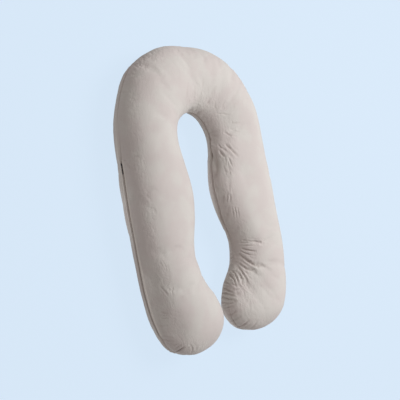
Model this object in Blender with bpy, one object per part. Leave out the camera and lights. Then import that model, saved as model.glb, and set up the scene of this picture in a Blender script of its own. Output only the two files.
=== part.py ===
"""A U-shaped body pillow that lies on its back, with a closed zip in its outer seam.

Two like cloth panels are sewn together along one seam that runs all round the U, and the case is
filled. The seam lies at half the pillow's thickness. A zip is set into the seam on the left leg,
with its slider at the upper end and the pull hanging down along it.

Units are metres. +Y points to the arch, +X to the right leg, +Z up from the surface that the
pillow lies on. The origin is under the middle of the whole, on that surface.
"""

from collections import namedtuple
from math import atan2, cos, exp, radians, sin

import bmesh
import bpy
from mathutils import Matrix, Vector

# The right half of the panel: each row joins a point on the outer edge to one on the inner edge.
# The left half is its mirror image.
Row = namedtuple("Row", "name outer_x outer_y inner_x inner_y")
PANEL = (
    Row("arch top", 0.000, 0.725, 0.000, 0.405),
    Row("haunch", 0.165, 0.700, 0.040, 0.395),
    Row("shoulder", 0.310, 0.605, 0.080, 0.370),
    Row("upper neck", 0.395, 0.445, 0.110, 0.320),
    Row("neck", 0.425, 0.280, 0.120, 0.240),
    Row("upper belly", 0.430, 0.125, 0.100, 0.120),
    Row("belly", 0.435, 0.000, 0.090, 0.010),
    Row("lower belly", 0.435, -0.135, 0.105, -0.110),
    Row("waist", 0.435, -0.290, 0.140, -0.260),
    Row("calf", 0.430, -0.415, 0.120, -0.385),
    Row("ankle", 0.410, -0.535, 0.065, -0.480),
    Row("foot", 0.365, -0.645, 0.035, -0.585),
    Row("heel", 0.290, -0.705, 0.090, -0.685),
    Row("tip", 0.200, -0.725, 0.200, -0.725),
)
TIP = len(PANEL) - 1
ARCH, WAIST, ANKLE_END, HEEL = 0, 8, 10.5, 12

# The filled section: a squared ellipse, pressed flat where it lies on the surface.
FULLNESS = 0.74
SQUARENESS = 2.3
SEAM_HEIGHT = 0.106

# The seam draws the cloth in to a narrow trench, which gets smaller where the leg is thin.
TRENCH_DEPTH = 0.004
TRENCH_MOUTH = 0.014
TRENCH_FLOOR = 0.006
FULL_TRENCH_REACH = 4 * TRENCH_MOUTH

# The zip in the left leg's outer seam. Places along a leg count the panel's rows from the arch top.
ZIP_TOP, ZIP_END = 4.5, 10.45
ZIP_WIDTH, ZIP_THICKNESS = 0.005, 0.002
SLIDER_AT = 4.56
SLIDER_LENGTH, SLIDER_WIDTH, SLIDER_THICKNESS = 0.014, 0.008, 0.004
SLIDER_ROUNDING = 0.001
PULL_LENGTH, PULL_WIDTH, PULL_THICKNESS = 0.034, 0.005, 0.0016
PULL_ROUNDING = 0.0004
GAP = 0.0003
PULL_LIFT = 0.0005
A_BIT_DOWN = 0.1
RIGHT, LEFT = 1, -1

# How finely the pillow is meshed.
STEP = 1 / 3
GATHER_STEP = 0.1
FOOT_STEP = 0.25
TIP_STEPS = (0.2, 0.4, 0.6, 0.75, 0.88)
AROUND_STEP = 10

# Main gathers, pulled in by the inner seam. Each runs between two places on the upper face:
# along is counted in the panel's rows, around in degrees from the outer seam over the crown.
# Its depth follows a stretch of a sine, given in degrees, so that it starts deep and runs out.
Gather = namedtuple("Gather", "leg along_1 around_1 along_2 around_2 depth width")
GATHERS = (
    Gather(RIGHT, 8.0, 156, 8.2, 98, 0.005, 0.010),
    Gather(RIGHT, 8.3, 150, 8.7, 116, 0.006, 0.010),
    Gather(RIGHT, 8.6, 160, 9.1, 106, 0.008, 0.011),
    Gather(RIGHT, 8.95, 164, 9.35, 128, 0.006, 0.010),
    Gather(RIGHT, 9.3, 174, 9.7, 150, 0.007, 0.010),
    Gather(RIGHT, 9.8, 174, 10.2, 148, 0.006, 0.010),
    Gather(RIGHT, 10.3, 174, 10.4, 146, 0.005, 0.010),
    Gather(RIGHT, 4.0, 166, 4.8, 120, 0.005, 0.012),
    Gather(LEFT, 8.1, 160, 8.3, 112, 0.005, 0.010),
    Gather(LEFT, 8.7, 162, 9.0, 118, 0.006, 0.010),
    Gather(LEFT, 9.3, 172, 9.7, 140, 0.006, 0.010),
    Gather(LEFT, 9.9, 172, 10.2, 146, 0.005, 0.010),
)
GATHER_POINTS = 13
TAPER_START, TAPER_END = 20, 180
TAPER_FULLNESS = 0.7

CLOTH = ("greige_jersey", (0.60, 0.545, 0.50), 0.9, 0.0)
ZIP_TAPE = ("zip_tape", (0.36, 0.31, 0.28), 0.8, 0.0)
DARK_METAL = ("dark_slider", (0.045, 0.038, 0.036), 0.45, 0.6)


def clear_scene():
    for thing in list(bpy.data.objects):
        bpy.data.objects.remove(thing, do_unlink=True)


def make_material(name, colour, roughness, metallic):
    material = bpy.data.materials.new(name)
    material.use_nodes = True
    shader = material.node_tree.nodes["Principled BSDF"]
    shader.inputs["Base Color"].default_value = (*colour, 1)
    shader.inputs["Roughness"].default_value = roughness
    shader.inputs["Metallic"].default_value = metallic
    return material


def edge_point(place):
    """A point on the panel's edge, a smooth curve through the rows' points.

    Place 0 is the outer top of the arch, TIP is the tip, and 2 * TIP is the inner top of the arch.
    """
    edge = [(r.outer_x, r.outer_y) for r in PANEL] + [(r.inner_x, r.inner_y) for r in PANEL[-2::-1]]
    haunch = PANEL[1]
    mirrored_outer, mirrored_inner = (-haunch.outer_x, haunch.outer_y), (-haunch.inner_x, haunch.inner_y)
    guides = [Vector(point) for point in (mirrored_outer, *edge, mirrored_inner)]
    at = min(int(place), 2 * TIP - 1)
    t = place - at
    a, b, c, d = guides[at:at + 4]
    slope, bend, twist = c - a, 2 * a - 5 * b + 4 * c - d, 3 * b - a - 3 * c + d
    return 0.5 * (2 * b + slope * t + bend * t**2 + twist * t**3)


def chord(leg, along):
    """The middle of the panel at a place along a leg, and the way from there to the outer seam."""
    outer, inner = edge_point(along), edge_point(2 * TIP - along)
    middle = (outer + inner) / 2
    reach = (outer - inner) / 2
    return Vector((leg * middle.x, middle.y, SEAM_HEIGHT)), Vector((leg * reach.x, reach.y, 0))


def power(value, exponent):
    return abs(value) ** exponent * (1 if value >= 0 else -1)


def skin_point(leg, along, around):
    """A point of the filled cloth, not yet pressed flat: 0 is on the outer seam, 90 on the crown."""
    middle, reach = chord(leg, along)
    across = power(cos(radians(around)), 2 / SQUARENESS)
    rise = power(sin(radians(around)), 2 / SQUARENESS)
    return middle + reach * across + Vector((0, 0, FULLNESS * reach.length * rise))


def trench(leg, along, side):
    """The four corners of the seam's trench, on the outer side (1) or the inner side (-1)."""
    middle, reach = chord(leg, along)
    outward = reach.normalized() * side
    size = min(1, reach.length / FULL_TRENCH_REACH)
    mouth, floor, depth = TRENCH_MOUTH / 2 * size, TRENCH_FLOOR / 2 * size, TRENCH_DEPTH * size
    half_height = FULLNESS * reach.length
    lip = (1 - (mouth / half_height) ** SQUARENESS) ** (1 / SQUARENESS)
    edge, bottom = reach.length * lip, reach.length - depth
    corners = ((edge, mouth), (bottom, floor), (bottom, -floor), (edge, -mouth))
    return [middle + outward * out + Vector((0, 0, up)) for out, up in corners]


def gather_paths():
    """Each gather as points on the cloth, with how deep it is at each of them."""
    paths = []
    for g in GATHERS:
        path = []
        for step in range(GATHER_POINTS):
            t = step / (GATHER_POINTS - 1)
            along = g.along_1 + (g.along_2 - g.along_1) * t
            around = g.around_1 + (g.around_2 - g.around_1) * t
            taper = sin(radians(TAPER_START + (TAPER_END - TAPER_START) * t)) ** TAPER_FULLNESS
            path.append((skin_point(g.leg, along, around), g.depth * taper))
        paths.append((path, g.width))
    return paths


def dent(point, paths):
    """How far the gathers draw the cloth in at a point."""
    total = 0
    for path, width in paths:
        away, depth = min(((point - p).length, d) for p, d in path)
        total += depth * exp(-((away / width) ** 2))
    return total


def section(leg, along, paths):
    """One closed section: the outer seam, the crown, the inner seam and the underside."""
    middle, _ = chord(leg, along)
    upper, lower = [], []
    for around in range(AROUND_STEP, 180, AROUND_STEP):
        point = skin_point(leg, along, around)
        upper.append(point + (middle - point).normalized() * dent(point, paths))
        lower.append(skin_point(leg, along, -around))
    outer, inner = trench(leg, along, 1), trench(leg, along, -1)
    ring = outer[1::-1] + upper + inner + lower[::-1] + outer[:1:-1]
    return [Vector((p.x, p.y, max(p.z, 0))) for p in ring]


def leg_places():
    """Where the right leg has a section, from the arch top to the tip, closer where it is gathered."""
    places = []
    stretches = ((ARCH, WAIST, STEP), (WAIST, ANKLE_END, GATHER_STEP), (ANKLE_END, HEEL, FOOT_STEP))
    for start, end, step in stretches:
        places += [start + step * i for i in range(round((end - start) / step))]
    return places + [HEEL] + [HEEL + step for step in TIP_STEPS]


def sections_mesh(name, rings, first, last):
    """A closed skin over a row of rings, with a point at each end, or a flat end where there is none."""
    mesh = bpy.data.meshes.new(name)
    bm = bmesh.new()
    loops = [[bm.verts.new(p) for p in ring] for ring in rings]
    count = len(loops[0])
    for a, b in zip(loops, loops[1:]):
        for i in range(count):
            j = (i + 1) % count
            bm.faces.new((a[i], a[j], b[j], b[i]))
    for loop, pole in ((loops[0], first), (loops[-1], last)):
        if pole is None:
            bm.faces.new(loop)
        else:
            point = bm.verts.new(pole)
            for i in range(count):
                bm.faces.new((loop[i], loop[(i + 1) % count], point))
    bmesh.ops.recalc_face_normals(bm, faces=bm.faces)
    bm.to_mesh(mesh)
    bm.free()
    return mesh


def add_object(name, mesh, material):
    thing = bpy.data.objects.new(name, mesh)
    mesh.materials.append(material)
    bpy.context.scene.collection.objects.link(thing)
    return thing


def make_pillow(material):
    paths = gather_paths()
    places = leg_places()
    rings = [section(LEFT, along, paths) for along in places[:0:-1]]
    rings += [section(RIGHT, along, paths) for along in places]
    ends = [chord(leg, TIP)[0] for leg in (LEFT, RIGHT)]
    mesh = sections_mesh("pillow", rings, *ends)
    mesh.shade_smooth()
    return add_object("pillow", mesh, material)


def zip_frame(along):
    """A place on the zip's line: the bottom of the left outer trench, and the way out of it."""
    middle, reach = chord(LEFT, along)
    outward = reach.normalized()
    return middle + outward * (reach.length - TRENCH_DEPTH), outward


def make_zip(material):
    """The closed zip: a flat band that lies in the trench, just off its floor."""
    inside = [place for place in leg_places() if ZIP_TOP < place < ZIP_END]
    rings = []
    for along in [ZIP_TOP, *inside, ZIP_END]:
        bottom, outward = zip_frame(along)
        rings.append([
            bottom + outward * out + Vector((0, 0, up))
            for out, up in (
                (GAP, -ZIP_WIDTH / 2),
                (GAP + ZIP_THICKNESS, -ZIP_WIDTH / 2),
                (GAP + ZIP_THICKNESS, ZIP_WIDTH / 2),
                (GAP, ZIP_WIDTH / 2),
            )
        ])
    return add_object("zip_tape", sections_mesh("zip_tape", rings, None, None), material)


def make_block(name, length, width, thickness, rounding, start, lift, material):
    """A rounded block that lies along the zip: start is how far down the zip its upper end is."""
    bottom, outward = zip_frame(SLIDER_AT)
    below, _ = zip_frame(SLIDER_AT + A_BIT_DOWN)
    down = (below - bottom).normalized()
    middle = bottom + down * (start + length / 2) + outward * (lift + thickness / 2)
    mesh = bpy.data.meshes.new(name)
    bm = bmesh.new()
    bmesh.ops.create_cube(bm, size=1, matrix=Matrix.Diagonal((thickness, length, width, 1)))
    bmesh.ops.bevel(bm, geom=bm.edges[:], offset=rounding, segments=2, affect="EDGES")
    bm.to_mesh(mesh)
    bm.free()
    block = add_object(name, mesh, material)
    block.location = middle
    block.rotation_euler.z = atan2(down.y, down.x) + radians(90)
    return block


def main():
    clear_scene()
    cloth = make_material(*CLOTH)
    tape = make_material(*ZIP_TAPE)
    metal = make_material(*DARK_METAL)
    make_pillow(cloth)
    make_zip(tape)
    slider_size = (SLIDER_LENGTH, SLIDER_WIDTH, SLIDER_THICKNESS, SLIDER_ROUNDING)
    pull_size = (PULL_LENGTH, PULL_WIDTH, PULL_THICKNESS, PULL_ROUNDING)
    tape_top = GAP + ZIP_THICKNESS
    make_block("zip_slider", *slider_size, 0, tape_top + GAP, metal)
    make_block("zip_pull", *pull_size, SLIDER_LENGTH + GAP, tape_top + PULL_LIFT, metal)


main()
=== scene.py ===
# %% [markdown]
# # A body pillow in soft jersey
#
# The real thing is a long U. Two like panels of greige cotton jersey are sewn together along one seam
# that runs all round the U, and the case is stuffed with fibre. A zip closes it, set into the seam on
# the outside of the left leg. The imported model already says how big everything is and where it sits.
# This file gives it its cloth, gathers, seam and zip, one short cell at a time.

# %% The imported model
from collections import namedtuple
from math import cos, pi, radians, sin

import bpy
import numpy as np
from mathutils import Matrix, Vector, noise
from mathutils.kdtree import KDTree


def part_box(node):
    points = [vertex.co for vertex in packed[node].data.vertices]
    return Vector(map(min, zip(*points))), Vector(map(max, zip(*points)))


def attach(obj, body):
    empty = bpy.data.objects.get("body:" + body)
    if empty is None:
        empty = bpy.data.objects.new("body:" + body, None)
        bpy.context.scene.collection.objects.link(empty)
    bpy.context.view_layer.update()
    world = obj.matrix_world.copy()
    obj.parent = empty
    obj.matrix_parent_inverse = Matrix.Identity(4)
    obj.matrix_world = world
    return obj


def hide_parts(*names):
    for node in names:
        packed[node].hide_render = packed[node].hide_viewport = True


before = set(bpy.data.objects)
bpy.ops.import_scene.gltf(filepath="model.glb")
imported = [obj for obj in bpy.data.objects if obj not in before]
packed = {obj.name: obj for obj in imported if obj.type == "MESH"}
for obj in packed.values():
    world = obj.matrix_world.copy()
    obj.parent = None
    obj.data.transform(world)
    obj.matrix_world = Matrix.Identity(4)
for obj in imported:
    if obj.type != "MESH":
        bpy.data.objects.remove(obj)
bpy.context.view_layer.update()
print("packed pieces:", sorted(packed))

# %% [markdown]
# ## Looking at it as the photographer did
#
# The pillow lies on its back, so the photo's view is one from above: the camera leans to the pillow's
# left side and is turned a little about its own line of sight. A camera's three axes are worked out
# here as vectors, right, up and back, which is easier to read than three angles applied in an order.

# %% The camera
CAMERA_LEAN = radians(39.75)      # from straight above, towards the left leg
CAMERA_TURN = radians(-10.1)      # about the line of sight
CAMERA_DISTANCE = 2.911
LENS = 54.3                       # millimetres, on a sensor 36 mm wide
LOOKS_AT = Vector((-0.022, -0.0275, 0.106))

back = Vector((-sin(CAMERA_LEAN), 0, cos(CAMERA_LEAN)))
level = Vector((0, 1, 0)).cross(back).normalized()
upright = back.cross(level)
right = cos(CAMERA_TURN) * level + sin(CAMERA_TURN) * upright
up = cos(CAMERA_TURN) * upright - sin(CAMERA_TURN) * level

bpy.ops.object.camera_add()
camera = bpy.context.object
camera.data.lens = LENS
turned = Matrix((right, up, back)).transposed().to_4x4()
camera.matrix_world = Matrix.Translation(LOOKS_AT + back * CAMERA_DISTANCE) @ turned
bpy.context.scene.camera = camera
print("camera at", [round(c, 3) for c in camera.matrix_world.translation])

# %% [markdown]
# ## A pale studio
#
# A large lamp high on the right gives the soft slope from lit crown to shaded side that shows how round
# the legs are. It stands a little towards the arch, which is why each fold has a dark and a bright side.
# The rest of the light comes evenly from all round. The floor glows by itself, as a backlit studio table
# does, so that the pillow's shadow stays light.

# %% The lamp
LAMP_TOWARDS = Vector((0.49, 0.17, 0.855))
LAMP_DISTANCE = 5.0
LAMP_SIZE = 3.0
LAMP_POWER = 195

bpy.ops.object.light_add(type="AREA", location=LAMP_TOWARDS * LAMP_DISTANCE)
lamp = bpy.context.object
lamp.data.shape = "DISK"
lamp.data.size = LAMP_SIZE
lamp.data.energy = LAMP_POWER
lamp.rotation_euler = LAMP_TOWARDS.to_track_quat("Z", "Y").to_euler()
bpy.context.scene.view_settings.view_transform = "Standard"
print("lamp of", LAMP_POWER, "watts at", LAMP_DISTANCE, "m")

# %% [markdown]
# A long, low strip light on the left brightens the pillow's left rim and shows the zip between its two
# soft lips. A shorter one does the same for the ends of the feet. They stand below the level of the floor,
# as lamps under the edge of a table do, so the floor is left out of the things that block them.

# %% The strip lights
Strip = namedtuple("Strip", "at aim size power")
STRIPS = (
    Strip(Vector((-0.62, 0.0, -0.55)), Vector((-0.41, 0.0, 0.05)), (0.25, 2.00), 0.52),
    Strip(Vector((0.06, -0.95, -0.55)), Vector((0.06, -0.69, 0.06)), (0.70, 0.25), 0.22),
)
STRIP_SPREAD = radians(38)

blockers = bpy.data.collections.new("strip_blockers")
for strip in STRIPS:
    bpy.ops.object.light_add(type="AREA", location=strip.at)
    light = bpy.context.object
    light.data.shape = "RECTANGLE"
    light.data.size, light.data.size_y = strip.size
    light.data.spread = STRIP_SPREAD
    light.data.energy = strip.power
    light.rotation_euler = (strip.at - strip.aim).to_track_quat("Z", "Y").to_euler()
    light.light_linking.blocker_collection = blockers
print(len(STRIPS), "strip lights")

# %% [markdown]
# ## Small helpers
#
# Blender's operators act on whatever is selected, so the first helpers select exactly one thing. The next
# ones move a mesh's points in and out of numpy, where a shape rule can be written once for all of them.

# %% Selecting, and reading points
def pick(piece):
    """Make one object the only selected and the active one."""
    bpy.ops.object.select_all(action="DESELECT")
    piece.select_set(True)
    bpy.context.view_layer.objects.active = piece


def choose(piece, chosen, kind="VERT"):
    """Select these vertices, edges or faces, given as true or false for each, and go to edit mode."""
    pick(piece)
    mesh = piece.data
    for name, parts in (("VERT", mesh.vertices), ("EDGE", mesh.edges), ("FACE", mesh.polygons)):
        parts.foreach_set("select", chosen if name == kind else np.zeros(len(parts), bool))
    bpy.ops.object.mode_set(mode="EDIT")
    bpy.ops.mesh.select_mode(type=kind)


def finish_edit():
    bpy.ops.object.mode_set(mode="OBJECT")


def edit(piece, chosen, operation, kind="VERT", **settings):
    """Run one edit mode operator on the chosen parts of a piece."""
    choose(piece, chosen, kind)
    operation(**settings)
    finish_edit()


def apply_modifier(piece, kind, **settings):
    """Add a modifier, set it up and apply it."""
    pick(piece)
    modifier = piece.modifiers.new(kind.lower(), kind)
    for name, value in settings.items():
        setattr(modifier, name, value)
    bpy.ops.object.modifier_apply(modifier=modifier.name)


def read(parts, name, width=3, kind=float):
    """A value or a vector of every vertex, edge, face or corner, as one array."""
    found = np.empty(len(parts) * width, kind)
    parts.foreach_get(name, found)
    return found.reshape(-1, width) if width > 1 else found


def points(piece):
    return read(piece.data.vertices, "co")


def set_points(piece, places):
    piece.data.vertices.foreach_set("co", places.ravel())
    piece.data.update()


def normals(piece):
    return read(piece.data.vertices, "normal")


def everything(piece):
    return np.ones(len(piece.data.vertices), bool)


def inside(places, low, high):
    return np.all((places > low) & (places < high), axis=1)


def rise(value, low, high):
    """0 below low, 1 above high, and a smooth slope in between."""
    t = np.clip((value - low) / (high - low), 0, 1)
    return t * t * (3 - 2 * t)


def bell(away, reach):
    """1 where away is 0, fading out smoothly over the reach."""
    return np.exp(-(away / reach) ** 2)


def bell_above(places, x, y, reach):
    """A bell round a point as seen from above."""
    return bell(np.hypot(places[:, 0] - x, places[:, 1] - y), reach)


def settle(piece):
    """Make a piece's place, turn and scale part of its mesh."""
    pick(piece)
    bpy.ops.object.transform_apply(location=True, rotation=True, scale=True)


# %% [markdown]
# ## Shader maths as plain sums
#
# A material here is a sum of masks and patterns. The class below wraps one output of a shader node, so
# that `1 - mask * 0.5` adds the two Math nodes it needs. Everything else that a material needs comes from
# one method, `node`, which takes the node's type, its settings and what goes into its sockets.

# %% Values and finishes
class Value:
    """A number or colour that varies over a surface."""

    def __init__(self, finish, socket):
        self.finish, self.socket = finish, socket

    def maths(self, operation, *terms):
        return self.finish.node("ShaderNodeMath", {"operation": operation}, dict(enumerate(terms)))

    def __add__(self, other):
        return self.maths("ADD", self, other)

    def __sub__(self, other):
        return self.maths("SUBTRACT", self, other)

    def __rsub__(self, other):
        return self.maths("SUBTRACT", other, self)

    def __mul__(self, other):
        return self.maths("MULTIPLY", self, other)

    def __pow__(self, other):
        return self.maths("POWER", self, other)

    def __abs__(self):
        return self.maths("ABSOLUTE", self)

    def sine(self):
        return self.maths("SINE", self)

    def clamp(self):
        return self.maths("MINIMUM", self.maths("MAXIMUM", self, 0), 1)

    __radd__, __rmul__ = __add__, __mul__


class Finish:
    """A material, and the short ways to add nodes to it."""

    def __init__(self, name):
        self.material = bpy.data.materials.new(name)
        self.material.use_nodes = True
        self.tree = self.material.node_tree
        self.shader = self.tree.nodes["Principled BSDF"]

    def fill(self, node, sockets):
        for name, value in sockets.items():
            if isinstance(value, Value):
                self.tree.links.new(value.socket, node.inputs[name])
            else:
                node.inputs[name].default_value = value

    def node(self, kind, settings=None, sockets=None, out=0):
        node = self.tree.nodes.new(kind)
        for name, value in (settings or {}).items():
            setattr(node, name, value)
        self.fill(node, sockets or {})
        return Value(self, node.outputs[out])

    def noise(self, where, scale, detail=2.0, rough=0.5):
        sockets = {"Vector": where, "Scale": scale, "Detail": detail, "Roughness": rough}
        return self.node("ShaderNodeTexNoise", None, sockets, "Fac")

    def stretched(self, where, scale):
        """A place to read a pattern at, multiplied by scale along x, y and z."""
        return self.node("ShaderNodeMapping", None, {"Vector": where, "Scale": scale})

    def part(self, where, axis):
        """The x, y or z of a place."""
        return self.node("ShaderNodeSeparateXYZ", None, {"Vector": where}, axis)

    def place(self, kind="Object"):
        """Where on the piece a point is: in its own space, or on its unwrapped pattern with UV."""
        return self.node("ShaderNodeTexCoord", None, None, kind)

    def attribute(self, name):
        return self.node("ShaderNodeAttribute", {"attribute_name": name}, None, "Fac")

    def between(self, value, low, high):
        """0 where the value is low, 1 where it is high, and smooth in between."""
        sockets = {"Value": value, "From Min": low, "From Max": high}
        return self.node("ShaderNodeMapRange", {"interpolation_type": "SMOOTHSTEP"}, sockets)

    def mix(self, share, first, second):
        """Two colours mixed: share is 0 for the first and 1 for the second."""
        return self.node("ShaderNodeMix", {"data_type": "RGBA"}, {0: share, 6: first, 7: second}, 2)

    def bump(self, height, distance, strength=1.0, normal=None):
        sockets = {"Height": height, "Distance": distance, "Strength": strength}
        if normal:
            sockets["Normal"] = normal
        return self.node("ShaderNodeBump", None, sockets)

    def surface(self, **sockets):
        """Set the shader's own sockets: base_color stands for Base Color."""
        for name, value in sockets.items():
            socket = name.replace("_", " ").title().replace("Ior", "IOR")
            self.fill(self.shader, {socket: value})


def colour(red, green, blue):
    return (red, green, blue, 1.0)


# %% [markdown]
# ## The surroundings and the floor
#
# The surroundings look pale blue to the camera and give a warmer light, because the cloth's own shaded
# sides in the photo are warm. The floor takes no part in that light: `visible_diffuse` is off, so its
# blue doesn't bounce onto the cloth.

# %% World and floor
AROUND_LIGHT = (0.394, 0.369, 0.355)
SKY_SEEN = (0.68, 0.804, 0.935)
FLOOR_SEEN = (0.669, 0.793, 0.925)
FLOOR_GLOW = 0.97

world = bpy.data.worlds.new("studio")
bpy.context.scene.world = world
world.use_nodes = True
sky = world.node_tree
seen = sky.nodes.new("ShaderNodeLightPath").outputs["Is Camera Ray"]
share = sky.nodes.new("ShaderNodeMix")
share.data_type = "RGBA"
share.inputs[6].default_value = colour(*AROUND_LIGHT)
share.inputs[7].default_value = colour(*SKY_SEEN)
sky.links.new(seen, share.inputs[0])
sky.links.new(share.outputs[2], sky.nodes["Background"].inputs["Color"])

bpy.ops.mesh.primitive_plane_add(size=16, location=(0, 0, -0.0005))
floor = bpy.context.object
floor.name = "floor"
floor.visible_diffuse = False
floor_finish = Finish("pale_floor")
floor_finish.surface(
    base_color=colour(*(c * (1 - FLOOR_GLOW) for c in FLOOR_SEEN)),
    roughness=0.9,
    emission_color=colour(*FLOOR_SEEN),
    emission_strength=FLOOR_GLOW,
)
floor.data.materials.append(floor_finish.material)
print("floor", floor.dimensions.x, "m wide")

# %% [markdown]
# ## The stuffed case
#
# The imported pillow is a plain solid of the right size. Its copy is remeshed into even squares, which cloth
# needs to fold the same way in every direction, and it is drawn in a little, because stuffing swells it
# again. One centimetre a square keeps the simulation under a minute.

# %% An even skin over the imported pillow
SQUARE = 0.010
DRAWN_IN = 0.002
SEAM_HEIGHT = 0.106

cover = bpy.data.objects.new("cover", packed["pillow"].data.copy())
bpy.context.scene.collection.objects.link(cover)
cover.data.materials.clear()
edit(cover, everything(cover), bpy.ops.mesh.remove_doubles, threshold=0.00001)
apply_modifier(cover, "REMESH", mode="VOXEL", voxel_size=SQUARE)
apply_modifier(cover, "SMOOTH", factor=0.5, iterations=10)
edit(cover, everything(cover), bpy.ops.transform.shrink_fatten, value=-DRAWN_IN)
print("even skin:", len(cover.data.polygons), "squares")

# %% [markdown]
# ## Where the seam gathers the cloth
#
# A curved seam is shorter than the cloth that it joins, so the cloth bunches up beside each bend. Each
# zone says where that happens and how far it reaches. `shrink` is the share by which the simulated cloth
# contracts along the seam, `pucker` is how high the small ripples beside it stand, and `gather` is how
# deep the longer folds are that run out from it.

# %% Gather zones
Zone = namedtuple("Zone", "name x y reach shrink pucker gather")
ZONES = (
    Zone("right waist", 0.125, -0.370, 0.150, 0.15, 0.0014, 0.0040),
    Zone("right foot, inner side", 0.055, -0.530, 0.080, 0.10, 0.0018, 0.0036),
    Zone("right foot, lowest part", 0.090, -0.670, 0.070, 0.08, 0.0014, 0.0026),
    Zone("left waist", -0.125, -0.350, 0.130, 0.10, 0.0012, 0.0038),
    Zone("left foot, inner side", -0.055, -0.540, 0.080, 0.07, 0.0010, 0.0026),
    Zone("left foot, lowest part", -0.090, -0.670, 0.070, 0.05, 0.0008, 0.0010),
    Zone("left foot, outer side", -0.340, -0.665, 0.080, 0.06, 0.0008, 0.0016),
    Zone("right foot, outer side", 0.340, -0.665, 0.080, 0.06, 0.0010, 0.0020),
    Zone("right neck", 0.110, 0.270, 0.120, 0.11, 0.0012, 0.0022),
    Zone("left neck", -0.110, 0.270, 0.110, 0.08, 0.0010, 0.0030),
    Zone("inside the arch", 0.000, 0.400, 0.080, 0.08, 0.0010, 0.0030),
    Zone("left shoulder", -0.300, 0.605, 0.110, 0.05, 0.0008, 0.0010),
    Zone("right shoulder", 0.300, 0.605, 0.110, 0.03, 0.0006, 0.0007),
    Zone("top of the arch", 0.000, 0.725, 0.160, 0.03, 0.0006, 0.0008),
)


def zone_strength(places, column):
    """The strongest zone's value at each place, fading out over the zone's reach."""
    total = np.zeros(len(places))
    for zone in ZONES:
        near = bell_above(places, zone.x, zone.y, zone.reach)
        total = np.maximum(total, getattr(zone, column) * near)
    return total


print(len(ZONES), "gather zones")

# %% [markdown]
# ## Where the zip is
#
# A zip's coil hardly bends or shrinks, so the seam stays straight beside it. Both the simulation and the
# uneven filling are held back there, by the share that this cell works out.

# %% The zip's stretch of the seam
ZIP_LOW, ZIP_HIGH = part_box("zip_tape")
ZIP_FADE = 0.030
OUTER_LEFT = -0.25


def on_zip(places, fade=ZIP_FADE):
    """1 along the zip's stretch of the outer left side, fading to 0 past its two ends."""
    below_top = 1 - rise(places[:, 1], ZIP_HIGH.y, ZIP_HIGH.y + fade)
    above_end = rise(places[:, 1], ZIP_LOW.y - fade, ZIP_LOW.y)
    return below_top * above_end * (places[:, 0] < OUTER_LEFT)


def looseness(places):
    """How freely the cloth moves: 0 at the zip, 1 away from it."""
    return 1 - on_zip(places) * bell(places[:, 2] - SEAM_HEIGHT, ZIP_FADE)


print("zip from y = %.3f down to %.3f" % (ZIP_HIGH.y, ZIP_LOW.y))

# %% [markdown]
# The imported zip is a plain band. Its corners come in pairs, one on its inner face and one on its outer
# face, and the middle of each pair is a point of the line that the real zip follows. The line is read off
# at even steps and smoothed, because a zip bends evenly.

# %% The zip's own line
ZIP_POINTS = 160
SMOOTHING = 13
ZIP_THICKNESS = 0.002
ZIP_GAP = 0.0003

band = points(packed["zip_tape"])
band = np.unique(band[band[:, 2] > SEAM_HEIGHT].round(5), axis=0)
band = band[np.argsort(-band[:, 1])]
middles = (band[0::2] + band[1::2]) / 2
zip_y = np.linspace(ZIP_HIGH.y, ZIP_LOW.y, ZIP_POINTS)
zip_x = np.interp(-zip_y, -middles[:, 1], middles[:, 0])
window = np.hanning(SMOOTHING + 2)[1:-1]
widened = np.pad(zip_x, SMOOTHING // 2, mode="reflect", reflect_type="odd")
zip_x = np.convolve(widened, window / window.sum(), "valid")


def zip_floor_x(y):
    """How far left the groove's floor lies, a gap behind the zip."""
    return np.interp(-y, -zip_y, zip_x) + ZIP_THICKNESS / 2 + ZIP_GAP


print("zip line from x = %.4f to %.4f" % (zip_x[0], zip_x[-1]))

# %% [markdown]
# ## Where the filling is packed fuller or thinner
#
# A plain solid is too even for a thing stuffed by hand. Each row has a place on the cloth as x, y, z and how
# far it reaches, all in millimetres. Its last number says how far the filling pushes the cloth out there,
# in tenths of a millimetre, or lets it sink in where it is negative.
#
# Most of this table wasn't designed by hand. A separate program fitted it to the photo's outline and
# shading. All but six rows have their place from that fit. 22 have its height too, 27 have four fifths of
# it, and 11 were changed one by one. A short table of hand-set rows would be easier to follow.

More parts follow.
